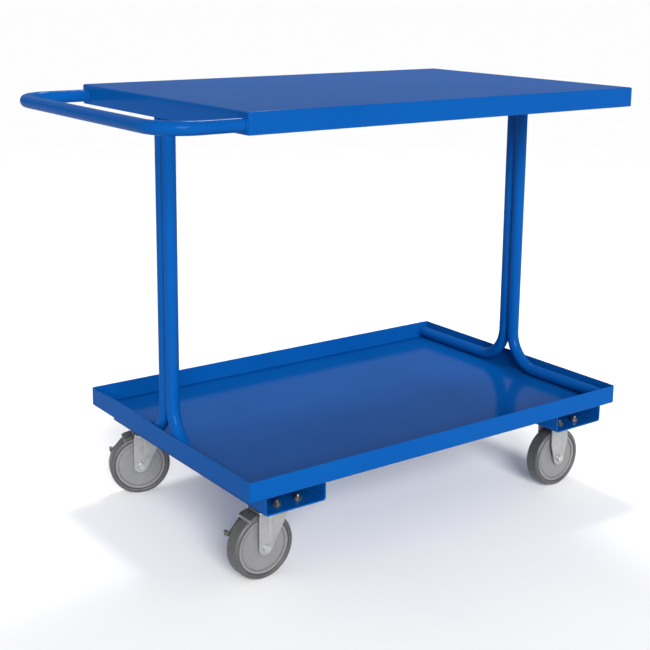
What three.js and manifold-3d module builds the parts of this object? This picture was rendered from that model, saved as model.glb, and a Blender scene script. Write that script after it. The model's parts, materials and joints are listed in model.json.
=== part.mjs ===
// Two-shelf platform trolley: a lipped lower deck and a flat top shelf joined by bent tube
// posts at each end, a tube push handle, and four casters bolted to two channels.
// Millimetres, +Z up. The handle is at -X, the long sides face -Y (front) and +Y (rear),
// and the floor is z = 0. The origin is at the middle of the whole trolley's footprint.
import * as THREE from 'three';
import { mergeVertices } from 'three/addons/utils/BufferGeometryUtils.js';
import Module from 'manifold-3d';

// ---- Driving dimensions ----------------------------------------------------------------
const GAP = 0.3; // between touching pieces

const DECK_LENGTH = 914;
const DECK_WIDTH = 610;
const LIP = 38;
const SHEET = 2;
const SHEET_CORNER = 3;
const SHELF_RISE = 628; // deck rim to top shelf surface

const TUBE = 25.4;
const TUBE_WALL = 1.8;
const TUBE_SIDES = 14;
const POST_BEND = 76;
const HANDLE_TUBE = 24;
const HANDLE_BEND = 65;
const HANDLE_REACH = 146; // shelf edge to the middle of the grip bar
const HANDLE_DROP = 21.5; // shelf surface to the middle of the handle
const HANDLE_EDGE = 15; // shelf side to the middle of a handle leg
const BEND_STEPS = 7;

const CASTER_HEIGHT = 144;
const CHANNEL_HEIGHT = 40;
const CHANNEL_WIDTH = 130;
const CHANNEL_SHEET = 3;
const CHANNEL_SIDE_INSET = 15;
const HANDLE_CHANNEL_INSET = 41;
const LOAD_CHANNEL_INSET = 25;

const SWIVEL_INSET = 104; // deck end to the swivel axis
const RIGID_INSET = 98; // deck end to the rigid axle
const CASTER_SIDE_INSET = 78;
const REAR_SWIVEL_TURN = -18; // degrees, as parked
const TRAIL = 34;

const PLATE = { length: 67, width: 95, sheet: 2.5, corner: 6, hole: 4.5, stepX: 22.25, stepY: 38 };
const WHEEL_RADIUS = 62.5;
const TYRE_WIDTH = 32;
const CORE_RADIUS = 52.5;
const CORE_WIDTH = 28;
const WHEEL_SIDES = 28;
const SLEEVE_RADIUS = 6;
const AXLE_RADIUS = 4;
const FORK_INSIDE = 18.4; // wheel middle to the inner face of a fork leg
const FORK_SHEET = 2.5;
const FORK_EYE = 14;
const CROWN_Z = 128.5;
const CROWN_SHEET = 3;
const YOKE_BACK = -39; // ends of the crown, from the swivel axis
const YOKE_FRONT = 17;
const RIGID_LEG_WIDTH = 46.8;
const RIGID_SHOULDER = 34; // above the axle, where the leg starts to taper
const HUB_RADIUS = 11;
const HUB_END_GAP = 0.9; // hub boss to the fork
const WEB_INSET = 2; // wheel web below the core's rim
const RACE_RADIUS = 27;
const RACE_DEPTH = 4;
const RACE_WALL = 11;
const KINGPIN_RADIUS = 5;
const PIN_CLEARANCE = 0.35;

const BRAKE_PIN = { x: -44, z: 129.3, radius: 2.5 };
const BRAKE_SLOPE = 21; // degrees below level
const PEDAL = { length: 24, width: 38, sheet: 2.6, sleeve: 4.2 };
// The pedal's side arm and lower tab, from the brake pin.
const PEDAL_ARM = [
  [-7, -2],
  [-20, -5],
  [-22, -13],
  [-30, -22],
  [-38, -31],
  [-46, -37],
  [-47.5, -44],
  [-41, -43],
  [-33, -34],
  [-25, -25],
  [-16, -16],
  [-8, -7],
];
const LOWER_TAB = { near: -44.5, far: -50, bottom: -44, top: -36, reach: 10 };

const HEX_M8 = 7.5; // corner radius of a 13 mm hexagon
const HEAD_HEIGHT = 5.3;
const NUT_HEIGHT = 6.5;
const BOLT_TAIL = 5; // thread above the nut
const AXLE_TAIL = 3;

const DECK_UNDERSIDE = CASTER_HEIGHT + CHANNEL_HEIGHT;
const RIM_Z = DECK_UNDERSIDE + LIP;
const SHELF_Z = RIM_Z + SHELF_RISE;
const HALF_LENGTH = DECK_LENGTH / 2;
const HALF_WIDTH = DECK_WIDTH / 2;
const TUBE_RADIUS = TUBE / 2;
const CASTER_Y = HALF_WIDTH - CASTER_SIDE_INSET;
const SWIVEL_X = SWIVEL_INSET - HALF_LENGTH;
const RIGID_X = HALF_LENGTH - RIGID_INSET;
const PLATE_TOP = CASTER_HEIGHT - GAP;
const PLATE_BOTTOM = PLATE_TOP - PLATE.sheet;
const FORK_OUTSIDE = FORK_INSIDE + FORK_SHEET;

// ---- Materials -------------------------------------------------------------------------
const finish = (color, roughness, metalness) => () =>
  new THREE.MeshStandardMaterial({ color, roughness, metalness });
const bluePaint = finish(0x0061bc, 0.4, 0.1);
const zincSteel = finish(0xb4b6b8, 0.35, 0.85);
const brightSteel = finish(0xd0d2d4, 0.25, 0.9);
const darkSteel = finish(0x6e6f6b, 0.45, 0.6);
const greyRubber = finish(0x55565a, 0.6, 0);
const greyPlastic = finish(0x8d8f92, 0.5, 0);

// ---- Solid helpers ---------------------------------------------------------------------
const wasm = await Module();
wasm.setup();

function solid(geometry) {
  const bare = geometry.clone();
  bare.deleteAttribute('normal');
  bare.deleteAttribute('uv');
  const merged = mergeVertices(bare, 1e-3);
  const corners = merged.index.array;
  const kept = [];
  for (let i = 0; i < corners.length; i += 3) {
    const [a, b, c] = corners.slice(i, i + 3);
    if (a !== b && b !== c && c !== a) kept.push(a, b, c);
  }
  const vertProperties = Float32Array.from(merged.attributes.position.array);
  const triVerts = Uint32Array.from(kept);
  return new wasm.Manifold(new wasm.Mesh({ numProp: 3, vertProperties, triVerts }));
}

function shapeOf(body) {
  const { vertProperties, triVerts } = body.getMesh();
  const geometry = new THREE.BufferGeometry();
  geometry.setAttribute('position', new THREE.BufferAttribute(vertProperties, 3));
  geometry.setIndex(new THREE.BufferAttribute(triVerts, 1));
  geometry.computeVertexNormals();
  return geometry;
}

function piece(name, body, material) {
  const mesh = new THREE.Mesh(shapeOf(body), material());
  mesh.name = name;
  return mesh;
}

function block(low, high) {
  const size = high.map((value, i) => value - low[i]);
  const middle = high.map((value, i) => (value + low[i]) / 2);
  return solid(new THREE.BoxGeometry(...size).translate(...middle));
}

// A prism on a round or regular section. axis is 'x', 'y' or 'z'.
function rod(radius, from, to, axis, middle = [0, 0], sides = 16) {
  const geometry = new THREE.CylinderGeometry(radius, radius, to - from, sides);
  geometry.translate(0, (from + to) / 2, 0);
  const [p, q] = middle;
  if (axis === 'z') geometry.rotateX(Math.PI / 2).translate(p, q, 0);
  else geometry.translate(p, 0, q);
  return solid(geometry);
}

const hexagon = (from, to, axis, middle) => rod(HEX_M8, from, to, axis, middle, 6);

// A solid of revolution about Y from (radius, along) points, in facets that lie on the radius.
function turned(profile, sides) {
  const spread = 1 / Math.cos(Math.PI / sides);
  const points = profile.map(([radius, along]) => new THREE.Vector2(radius * spread, along));
  const ring = [...points, points[0].clone()].reverse();
  return solid(new THREE.LatheGeometry(ring, sides).rotateY(Math.PI / sides));
}

function roundedRectangle(length, width, corner) {
  const x = length / 2 - corner;
  const y = width / 2 - corner;
  const shape = new THREE.Shape();
  shape.absarc(x, y, corner, 0, Math.PI / 2);
  shape.absarc(-x, y, corner, Math.PI / 2, Math.PI);
  shape.absarc(-x, -y, corner, Math.PI, Math.PI * 1.5);
  shape.absarc(x, -y, corner, Math.PI * 1.5, Math.PI * 2);
  return shape;
}

function extruded(shape, from, to, curveSegments = 2) {
  const options = { depth: to - from, bevelEnabled: false, curveSegments };
  return solid(new THREE.ExtrudeGeometry(shape, options).translate(0, 0, from));
}

// A plate that stands in the XZ plane, between two places along Y.
function uprightPlate(shape, from, to) {
  const options = { depth: to - from, bevelEnabled: false, curveSegments: 5 };
  const geometry = new THREE.ExtrudeGeometry(shape, options);
  return solid(geometry.rotateX(Math.PI / 2).translate(0, to, 0));
}

function outline(points) {
  return new THREE.Shape(points.map(([x, z]) => new THREE.Vector2(x, z)));
}

const joined = (bodies) => bodies.reduce((sum, body) => sum.add(body));
const cut = (body, tools) => tools.reduce((rest, tool) => rest.subtract(tool), body);

// ---- Bent tube -------------------------------------------------------------------------
// A path that visits its stations in turn, so that straight runs need no steps.
class PipePath extends THREE.Curve {
  constructor(stations) {
    super();
    this.stations = stations;
  }

  getPointAt(u) {
    return this.stations[Math.round(u * (this.stations.length - 1))].place.clone();
  }

  getTangentAt(u) {
    return this.stations[Math.round(u * (this.stations.length - 1))].heading.clone();
  }
}

// Straight runs between the corner points, with an arc of the bend radius at each corner.
function pipeStations(corners, bend) {
  const points = corners.map((corner) => new THREE.Vector3(...corner));
  const heading = (i) => points[i + 1].clone().sub(points[i]).normalize();
  const stations = [{ place: points[0], heading: heading(0) }];
  for (let i = 1; i < points.length - 1; i += 1) {
    const before = heading(i - 1);
    const after = heading(i);
    const start = points[i].clone().addScaledVector(before, -bend);
    const centre = start.clone().addScaledVector(after, bend);
    for (let step = 0; step <= BEND_STEPS; step += 1) {
      const turn = ((Math.PI / 2) * step) / BEND_STEPS;
      const place = centre
        .clone()
        .addScaledVector(after, -bend * Math.cos(turn))
        .addScaledVector(before, bend * Math.sin(turn));
      const direction = before
        .clone()
        .multiplyScalar(Math.cos(turn))
        .addScaledVector(after, Math.sin(turn));
      stations.push({ place, heading: direction });
    }
  }
  const last = points.length - 1;
  stations.push({ place: points[last], heading: heading(last - 1) });
  return stations;
}

function sweep(radius, stations) {
  const section = new THREE.Shape();
  section.absarc(0, 0, radius, 0, Math.PI * 2);
  return solid(
    new THREE.ExtrudeGeometry(section, {
      steps: stations.length - 1,
      curveSegments: TUBE_SIDES / 2,
      bevelEnabled: false,
      extrudePath: new PipePath(stations),
    }),
  );
}

function bentTube(corners, bend, radius) {
  const stations = pipeStations(corners, bend);
  return sweep(radius, stations).subtract(sweep(radius - TUBE_WALL, boreOf(stations)));
}

// The bore runs a little past both ends, so that the tube stays open.
function boreOf(stations) {
  const last = stations.length - 1;
  const past = (station, distance) => ({
    place: station.place.clone().addScaledVector(station.heading, distance),
    heading: station.heading,
  });
  return [past(stations[0], -1), ...stations.slice(1, last), past(stations[last], 1)];
}

// ---- Frame -----------------------------------------------------------------------------
// A shallow sheet tray with its lips standing up from the floor.
function tray(floorZ) {
  const inside = [DECK_LENGTH - 2 * SHEET, DECK_WIDTH - 2 * SHEET, SHEET_CORNER - SHEET];
  const outer = roundedRectangle(DECK_LENGTH, DECK_WIDTH, SHEET_CORNER);
  const body = extruded(outer, floorZ, floorZ + LIP);
  return body.subtract(extruded(roundedRectangle(...inside), floorZ + SHEET, floorZ + LIP + 1));
}

function lowerDeck() {
  return piece('lower_deck', tray(DECK_UNDERSIDE), bluePaint);
}

// The same pressing turned over, so that the lips hang down.
function topShelf() {
  const body = tray(0).rotate([180, 0, 0]).translate([0, 0, SHELF_Z]);
  return piece('top_shelf', body, bluePaint);
}

// A post drops from under the shelf, turns along the deck's end lip and runs to the side lip.
function endPost(name, endSign, sideSign) {
  const x = endSign * (HALF_LENGTH - SHEET - 1 - TUBE_RADIUS);
  const y = sideSign * (TUBE_RADIUS + GAP / 2);
  const runZ = DECK_UNDERSIDE + SHEET + GAP + TUBE_RADIUS;
  const corners = [
    [x, y, SHELF_Z - SHEET - GAP],
    [x, y, runZ],
    [x, sideSign * (HALF_WIDTH - SHEET - GAP), runZ],
  ];
  return piece(name, bentTube(corners, POST_BEND, TUBE_RADIUS), bluePaint);
}

function pushHandle() {
  const z = SHELF_Z - HANDLE_DROP;
  const y = HALF_WIDTH - HANDLE_EDGE;
  const root = -HALF_LENGTH - GAP;
  const grip = -HALF_LENGTH - HANDLE_REACH;
  const corners = [
    [root, -y, z],
    [grip, -y, z],
    [grip, y, z],
    [root, y, z],
  ];
  return piece('push_handle', bentTube(corners, HANDLE_BEND, HANDLE_TUBE / 2), bluePaint);
}

// An upturned channel across the trolley, with its web holding a caster near each end.
function casterChannel(name, middleX, casterX) {
  const halfRun = HALF_WIDTH - CHANNEL_SIDE_INSET;
  const half = CHANNEL_WIDTH / 2;
  const top = DECK_UNDERSIDE - GAP;
  const body = block([middleX - half, -halfRun, CASTER_HEIGHT], [middleX + half, halfRun, top]);
  const inner = half - CHANNEL_SHEET;
  const hollow = block(
    [middleX - inner, -halfRun - 1, CASTER_HEIGHT + CHANNEL_SHEET],
    [middleX + inner, halfRun + 1, top + 1],
  );
  const holes = [-1, 1].flatMap((side) => plateHoles(casterX, side * CASTER_Y));
  return piece(name, cut(body, [hollow, ...holes]), bluePaint);
}

// ---- Casters ---------------------------------------------------------------------------
const boltPlaces = [-1, 1].flatMap((i) => [-1, 1].map((j) => [i * PLATE.stepX, j * PLATE.stepY]));

function plateHoles(x, y) {
  const top = CASTER_HEIGHT + CHANNEL_HEIGHT / 2;
  return boltPlaces.map(([i, j]) => rod(PLATE.hole, PLATE_BOTTOM - 1, top, 'z', [x + i, y + j], 8));
}

function mountingPlate() {
  const shape = roundedRectangle(PLATE.length, PLATE.width, PLATE.corner);
  return cut(extruded(shape, PLATE_BOTTOM, PLATE_TOP), plateHoles(0, 0));
}

// Head under the plate, shank up through plate and channel web, nut on top.
function casterBolt([x, y]) {
  const headTop = PLATE_BOTTOM - GAP;
  const nutBottom = CASTER_HEIGHT + CHANNEL_SHEET + GAP;
  const nutTop = nutBottom + NUT_HEIGHT;
  return joined([
    hexagon(headTop - HEAD_HEIGHT, headTop, 'z', [x, y]),
    rod(AXLE_RADIUS, headTop - 1, nutTop + BOLT_TAIL, 'z', [x, y], 8),
    hexagon(nutBottom, nutTop, 'z', [x, y]),
  ]);
}

function casterBolts(prefix) {
  const named = ([i, place]) => piece(`${prefix}_bolt_${i + 1}`, casterBolt(place), brightSteel);
  return [...boltPlaces.entries()].map(named);
}

const mirroredAlong = (side) => side.map(([radius, along]) => [radius, -along]).reverse();

function tyre() {
  const half = TYRE_WIDTH / 2;
  const inner = CORE_RADIUS + GAP;
  const side = [
    [inner, CORE_WIDTH / 2],
    [inner + 2, half - 0.5],
    [WHEEL_RADIUS - 4, half],
    [WHEEL_RADIUS - 1, half - 3.5],
    [WHEEL_RADIUS, half - 8],
  ];
  return turned([...side, ...mirroredAlong(side)], WHEEL_SIDES);
}

function wheelCore() {
  const bore = SLEEVE_RADIUS + GAP;
  const side = [
    [bore, FORK_INSIDE - HUB_END_GAP],
    [HUB_RADIUS, FORK_INSIDE - HUB_END_GAP],
    [HUB_RADIUS + 2, CORE_WIDTH / 2 - WEB_INSET],
    [CORE_RADIUS - 8, CORE_WIDTH / 2 - WEB_INSET],
    [CORE_RADIUS - 6, CORE_WIDTH / 2],
    [CORE_RADIUS, CORE_WIDTH / 2],
  ];
  return turned([...side, ...mirroredAlong(side)], WHEEL_SIDES);
}

function axleBolt() {
  const face = FORK_OUTSIDE + GAP;
  const shank = rod(AXLE_RADIUS, -face - 1, face + NUT_HEIGHT + AXLE_TAIL, 'y', [0, 0], 12);
  return shank.add(hexagon(-face - HEAD_HEIGHT, -face, 'y'));
}

function axleNut() {
  const face = FORK_OUTSIDE + GAP;
  const bore = rod(AXLE_RADIUS + PIN_CLEARANCE, face - 1, face + NUT_HEIGHT + 1, 'y', [0, 0], 12);
  return hexagon(face, face + NUT_HEIGHT, 'y').subtract(bore);
}

function axleSleeve() {
  const half = FORK_INSIDE - GAP;
  const bore = rod(AXLE_RADIUS + PIN_CLEARANCE, -half - 1, half + 1, 'y', [0, 0], 12);
  return rod(SLEEVE_RADIUS, -half, half, 'y', [0, 0], 16).subtract(bore);
}

// The wheel and its axle pieces, with the axle at the group's own origin.
function wheelSet(prefix) {
  const group = new THREE.Group();
  group.add(
    piece(`${prefix}_tyre`, tyre(), greyRubber),
    piece(`${prefix}_wheel_core`, wheelCore(), greyPlastic),
    piece(`${prefix}_axle_bolt`, axleBolt(), brightSteel),
    piece(`${prefix}_axle_nut`, axleNut(), brightSteel),
    piece(`${prefix}_axle_sleeve`, axleSleeve(), brightSteel),
  );
  return group;
}

// Both legs of a fork from one side outline, drilled for the axle.
function forkLegs(shape, axleX) {
  const front = uprightPlate(shape, -FORK_OUTSIDE, -FORK_INSIDE);
  const rear = uprightPlate(shape, FORK_INSIDE, FORK_OUTSIDE);
  const reach = FORK_OUTSIDE + 1;
  const eye = rod(AXLE_RADIUS + PIN_CLEARANCE, -reach, reach, 'y', [axleX, WHEEL_RADIUS], 12);
  return front.add(rear).subtract(eye);
}

// Down one edge, round the axle eye and up the other edge.
function legOutline(axleX, leftTop, rightTop, shoulders) {
  const shape = new THREE.Shape();
  shape.moveTo(...rightTop);
  shape.lineTo(...leftTop);
  if (shoulders) shape.lineTo(leftTop[0], shoulders);
  shape.absarc(axleX, WHEEL_RADIUS, FORK_EYE, Math.PI * 1.04, Math.PI * 1.96);
  if (shoulders) shape.lineTo(rightTop[0], shoulders);
  return shape;
}

function swivelYoke() {
  const top = CROWN_Z + CROWN_SHEET;
  const reach = FORK_OUTSIDE + 1;
  const shape = legOutline(-TRAIL, [-TRAIL - FORK_EYE, top], [YOKE_FRONT, top]);
  const legs = forkLegs(shape, -TRAIL);
  const crown = block([YOKE_BACK, -FORK_OUTSIDE, CROWN_Z], [YOKE_FRONT, FORK_OUTSIDE, top]);
  const seat = rod(RACE_RADIUS, CROWN_Z, top, 'z', [0, 0], 20);
  const kingpinHole = rod(KINGPIN_RADIUS + PIN_CLEARANCE, CROWN_Z - 1, top + 1, 'z', [0, 0], 12);
  const pinPlace = [BRAKE_PIN.x, BRAKE_PIN.z];
  const pinHole = rod(BRAKE_PIN.radius + PIN_CLEARANCE, -reach, reach, 'y', pinPlace, 12);
  return cut(joined([legs, crown, seat]), [kingpinHole, pinHole]);
}

// The top plate with the upper half of the swivel bearing pressed into it.
function swivelPlate() {
  const race = rod(RACE_RADIUS, PLATE_BOTTOM - RACE_DEPTH, PLATE_BOTTOM + 1, 'z', [0, 0], 20);
  const bottom = PLATE_BOTTOM - RACE_DEPTH - 1;
  const well = rod(RACE_RADIUS - RACE_WALL - 1, bottom, PLATE_BOTTOM, 'z', [0, 0], 20);
  const hole = rod(KINGPIN_RADIUS + PIN_CLEARANCE, PLATE_BOTTOM - 1, PLATE_TOP + 1, 'z', [0, 0], 12);
  return cut(mountingPlate().add(race.subtract(well)), [hole]);
}

function ballRace() {
  const bottom = CROWN_Z + CROWN_SHEET + GAP;
  const top = PLATE_BOTTOM - RACE_DEPTH - GAP;
  const ring = rod(RACE_RADIUS - 1.5, bottom, top, 'z', [0, 0], 20);
  return ring.subtract(rod(RACE_RADIUS - RACE_WALL, bottom - 1, top + 1, 'z', [0, 0], 20));
}

function kingpin() {
  const head = rod(KINGPIN_RADIUS + 4, CROWN_Z - 3.3, CROWN_Z - GAP, 'z', [0, 0], 20);
  return head.add(rod(KINGPIN_RADIUS, CROWN_Z - 2, PLATE_TOP, 'z', [0, 0], 12));
}

function brakePin() {
  const half = FORK_OUTSIDE + 1;
  return rod(BRAKE_PIN.radius, -half, half, 'y', [BRAKE_PIN.x, BRAKE_PIN.z], 12);
}

// A foot tab over the tread on a sleeve round the pin, with a side arm and a lower tab.
function brakePedal() {
  const { x, z, radius } = BRAKE_PIN;
  const halfSleeve = FORK_INSIDE - 1;
  const sleeve = rod(PEDAL.sleeve, -halfSleeve, halfSleeve, 'y', [x, z], 16);
  const bore = rod(radius + PIN_CLEARANCE, -halfSleeve - 1, halfSleeve + 1, 'y', [x, z], 12);
  const slope = THREE.MathUtils.degToRad(BRAKE_SLOPE);
  const slab = (near, far, low, high) => {
    const geometry = new THREE.BoxGeometry(far - near, high - low, PEDAL.sheet);
    geometry.translate(-(far + near) / 2, (high + low) / 2, 0).rotateY(-slope);
    return solid(geometry.translate(x, 0, z));
  };
  const half = PEDAL.width / 2;
  const neck = slab(3, 10, -halfSleeve, halfSleeve);
  const tab = slab(6, PEDAL.length, -half, half);
  const armShape = outline(PEDAL_ARM.map(([along, up]) => [x + along, z + up]));
  const arm = uprightPlate(armShape, half - 2, half);
  const lowerTab = block(
    [x + LOWER_TAB.far, half - 1.5, z + LOWER_TAB.bottom],
    [x + LOWER_TAB.near, half + LOWER_TAB.reach, z + LOWER_TAB.top],
  );
  return joined([sleeve, neck, tab, arm, lowerTab]).subtract(bore);
}

function swivelCaster(prefix, y, turn) {
  const caster = new THREE.Group();
  caster.position.set(SWIVEL_X, y, 0);
  const swivelled = new THREE.Group();
  swivelled.rotation.z = THREE.MathUtils.degToRad(turn);
  const wheel = wheelSet(prefix);
  wheel.position.set(-TRAIL, 0, WHEEL_RADIUS);
  swivelled.add(
    wheel,
    piece(`${prefix}_yoke`, swivelYoke(), zincSteel),
    piece(`${prefix}_brake_pin`, brakePin(), brightSteel),
    piece(`${prefix}_brake_pedal`, brakePedal(), darkSteel),
  );
  caster.add(
    swivelled,
    piece(`${prefix}_top_plate`, swivelPlate(), zincSteel),
    piece(`${prefix}_ball_race`, ballRace(), brightSteel),
    piece(`${prefix}_kingpin`, kingpin(), brightSteel),
    ...casterBolts(prefix),
  );
  return caster;
}

// One pressing: the plate with two legs that taper to the axle.
function rigidFork() {
  const half = RIGID_LEG_WIDTH / 2;
  const top = PLATE_BOTTOM + 1;
  const shoulder = WHEEL_RADIUS + RIGID_SHOULDER;
  const legs = forkLegs(legOutline(0, [-half, top], [half, top], shoulder), 0);
  return mountingPlate().add(legs);
}

function rigidCaster(prefix, y) {
  const caster = new THREE.Group();
  caster.position.set(RIGID_X, y, 0);
  const wheel = wheelSet(prefix);
  wheel.position.z = WHEEL_RADIUS;
  caster.add(wheel, piece(`${prefix}_fork`, rigidFork(), zincSteel), ...casterBolts(prefix));
  return caster;
}

// ---- Assembly --------------------------------------------------------------------------
const trolley = new THREE.Group();
trolley.position.x = (HANDLE_REACH + HANDLE_TUBE / 2) / 2;
const handleChannelX = HANDLE_CHANNEL_INSET + CHANNEL_WIDTH / 2 - HALF_LENGTH;
const loadChannelX = HALF_LENGTH - LOAD_CHANNEL_INSET - CHANNEL_WIDTH / 2;
trolley.add(
  lowerDeck(),
  topShelf(),
  endPost('handle_end_post_front', -1, -1),
  endPost('handle_end_post_rear', -1, 1),
  endPost('load_end_post_front', 1, -1),
  endPost('load_end_post_rear', 1, 1),
  pushHandle(),
  casterChannel('handle_end_channel', handleChannelX, SWIVEL_X),
  casterChannel('load_end_channel', loadChannelX, RIGID_X),
  swivelCaster('swivel_front', -CASTER_Y, 0),
  swivelCaster('swivel_rear', CASTER_Y, REAR_SWIVEL_TURN),
  rigidCaster('rigid_front', -CASTER_Y),
  rigidCaster('rigid_rear', CASTER_Y),
);

const group = new THREE.Group();
group.add(trolley);

export default group;
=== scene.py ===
import json
import math
import random

import bmesh
import bpy
from mathutils import Matrix, Quaternion, Vector


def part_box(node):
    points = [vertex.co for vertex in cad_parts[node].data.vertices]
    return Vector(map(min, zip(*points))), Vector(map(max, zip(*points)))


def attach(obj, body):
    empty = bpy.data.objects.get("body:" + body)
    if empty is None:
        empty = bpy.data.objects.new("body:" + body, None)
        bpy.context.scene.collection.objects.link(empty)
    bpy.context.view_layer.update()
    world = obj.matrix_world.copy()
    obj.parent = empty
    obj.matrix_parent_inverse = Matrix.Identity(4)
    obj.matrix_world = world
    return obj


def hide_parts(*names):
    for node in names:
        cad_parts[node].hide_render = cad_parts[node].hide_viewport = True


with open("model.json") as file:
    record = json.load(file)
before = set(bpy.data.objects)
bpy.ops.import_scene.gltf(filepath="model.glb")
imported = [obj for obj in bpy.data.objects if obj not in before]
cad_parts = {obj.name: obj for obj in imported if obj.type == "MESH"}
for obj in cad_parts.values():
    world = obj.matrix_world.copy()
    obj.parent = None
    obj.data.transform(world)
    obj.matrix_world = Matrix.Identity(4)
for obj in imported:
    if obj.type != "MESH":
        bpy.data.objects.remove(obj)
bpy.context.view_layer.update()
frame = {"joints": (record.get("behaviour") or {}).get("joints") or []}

MM = 0.001
TAU = math.tau

# ---- Sizes ------------------------------------------------------------------------------
SHEET = 2.0 * MM
SHEET_FOLD = 3.6 * MM
SHEET_CORNER = 4.5 * MM
SHEET_EDGE = 0.6 * MM
TIGHTEST_CORNER = 1.2 * MM
FLOOR_STRIP = 14 * MM  # from the lip's outer face to the edge of the floor's one large face
TUBE_RADIUS = 12.7 * MM
TUBE_WALL = 1.8 * MM
TUBE_DEPTH = 30 * MM  # how far the bore is drawn in from each open end
PAINT_FILL = 0.14 * MM  # the pair of posts is painted as one, with the seam filled
SEAM_HALF = 7.5 * MM  # how far the seam reaches each way from between the pair
SEAM_OVERLAP = 0.3 * MM  # how far it sinks into each tube
HANDLE_TUBE_RADIUS = 12 * MM
POST_BEND = 76 * MM
HANDLE_BEND = 65 * MM
CHANNEL_SHEET = 3 * MM
CHANNEL_FOLD = 6 * MM
FORK_INSIDE = 18.4 * MM
FORK_SHEET = 2.5 * MM
FORK_FOLD = 5.5 * MM
FORK_EDGE = 0.45 * MM
FORK_EYE = 14 * MM
TRAIL = 34 * MM
CROWN_TOP = 131.5 * MM
CROWN_FRONT = 27 * MM
CROWN_BACK = 39 * MM
YOKE_FRONT = 17 * MM  # the yoke leg's front edge, ahead of the kingpin
RIGID_LEG_HALF = 23.4 * MM
RIGID_SHOULDER = 34 * MM  # above the axle, where the rigid fork's legs start to taper
CASTER_PLATE = 2.5 * MM
PLATE_CORNER = 8 * MM
PLATE_EDGE = 0.5 * MM
RACE_RADIUS = 27 * MM
LOWER_RACE_RADIUS = 25.5 * MM
BALLS = 20
BALL_RADIUS = 2.3 * MM
BALL_CIRCLE = 22 * MM
PIVOT_BACK = 44 * MM  # the brake's pivot, behind the kingpin
PEDAL_SLOPE = 21  # degrees
PEDAL_EDGE = 0.35 * MM
HEX_ACROSS = 13 * MM
HEX_FACE = 1.02  # the turned end face, as a share of the width across the flats
HEX_CHAMFER = 28  # degrees
BOLT_HEAD = 5.3 * MM
HEAD_COLLAR = 0.6 * MM
COLLAR_RADIUS = 7.2 * MM
WASHER_RADIUS = 8 * MM
WASHER_TOP = 1.4 * MM  # above the channel's web
NUT_TOP = 6.8 * MM  # above the channel's web
THREAD_RADIUS = 4 * MM
THREAD_PITCH = 1.25 * MM
AXLE_WASHER_RADIUS = 7.4 * MM
AXLE_WASHER = 1.1 * MM
WELD_GAP = 0.6 * MM  # from the tube's and the sheet's surface to the bead's middle
BEAD_RADIUS = 1.9 * MM
BEAD_PITCH = 2.4 * MM
CHANNEL_WELD = 40 * MM
CHANNEL_WELD_SHARES = (-0.78, -0.26, 0.26, 0.78)  # weld middles, as shares of the half width
SHARP_ANGLE = math.radians(38)  # steeper edges are shaded sharp
BEVEL_ANGLE = math.radians(50)  # steeper edges are softened
# How strongly rims and folds get lighter chips: part paint wear, part painted edge highlight.
EDGE_WEAR_AND_HIGHLIGHT = 1.0
FOLD_WEAR_AND_HIGHLIGHT = 0.55

# ---- Camera and framing -----------------------------------------------------------------
# The camera stands this far from the deck's near handle-end rim corner. Its angles are in radians.
CAMERA_FROM_CORNER = Vector((-1.0570, -1.6592, 0.8368))
CAMERA_YAW = 0.6297
CAMERA_PITCH = 0.2086
CAMERA_ROLL = -0.0098
FOCAL_WIDTHS = 1.9065  # focal length over frame width
CAMERA_SHIFT_Y = -0.13

# ---- Floor and light --------------------------------------------------------------------
FLOOR_HALF = 60.0
WORLD_GREYS = [(0.0, 0.27), (0.15, 0.38), (0.36, 0.92), (1.0, 0.3)]  # from the horizon to overhead
SUN_HEADING = Vector((0.34, 0.84, -0.36))
SUN_ENERGY = 4.2
SUN_ANGLE = math.radians(28)
SOFTBOX_PLACE = Vector((1.0, 1.3, 2.9))
SOFTBOX_TARGET = Vector((0, 0, 0.6))
SOFTBOX_SIZE = (0.8, 0.3)
SOFTBOX_POWER = 44

deck_low, deck_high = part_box("lower_deck")
shelf_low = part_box("top_shelf")[0]
web_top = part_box("handle_end_channel")[0].z + CHANNEL_SHEET
joints = {joint["name"]: joint for joint in frame["joints"]}
X_AXIS, Y_AXIS, Z_AXIS = Vector((1, 0, 0)), Vector((0, 1, 0)), Vector((0, 0, 1))
Y_UPWARDS = Matrix.Rotation(math.radians(90), 4, "X")  # turns a shape's local Y to point up


# ---- Materials --------------------------------------------------------------------------
def shader(name, color, roughness, metallic=0.0, **sockets):
    """A new material, its node tree and its shader, with plain values under any textures."""
    material = bpy.data.materials.new(name)
    material.use_nodes = True
    bsdf = material.node_tree.nodes["Principled BSDF"]
    bsdf.inputs["Base Color"].default_value = (*color, 1.0)
    bsdf.inputs["Roughness"].default_value = roughness
    bsdf.inputs["Metallic"].default_value = metallic
    for socket, value in sockets.items():
        bsdf.inputs[socket.replace("_", " ")].default_value = value
    return material, material.node_tree, bsdf


def add_node(tree, kind, **values):
    """A node with its properties set by name, and its inputs by in_ and the socket's name."""
    node = tree.nodes.new(kind)
    for key, value in values.items():
        if key.startswith("in_"):
            node.inputs[key[3:].replace("_", " ")].default_value = value
        else:
            setattr(node, key, value)
    return node


def object_noise(tree, scale, detail, roughness=0.5, stretch=(1, 1, 1)):
    """Noise on object coordinates, optionally stretched along an axis."""
    place = add_node(tree, "ShaderNodeTexCoord")
    mapping = add_node(tree, "ShaderNodeMapping", in_Scale=stretch)
    noise = add_node(tree, "ShaderNodeTexNoise", in_Scale=scale, in_Detail=detail, in_Roughness=roughness)
    tree.links.new(place.outputs["Object"], mapping.inputs["Vector"])
    tree.links.new(mapping.outputs["Vector"], noise.inputs["Vector"])
    return noise.outputs["Fac"]


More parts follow.
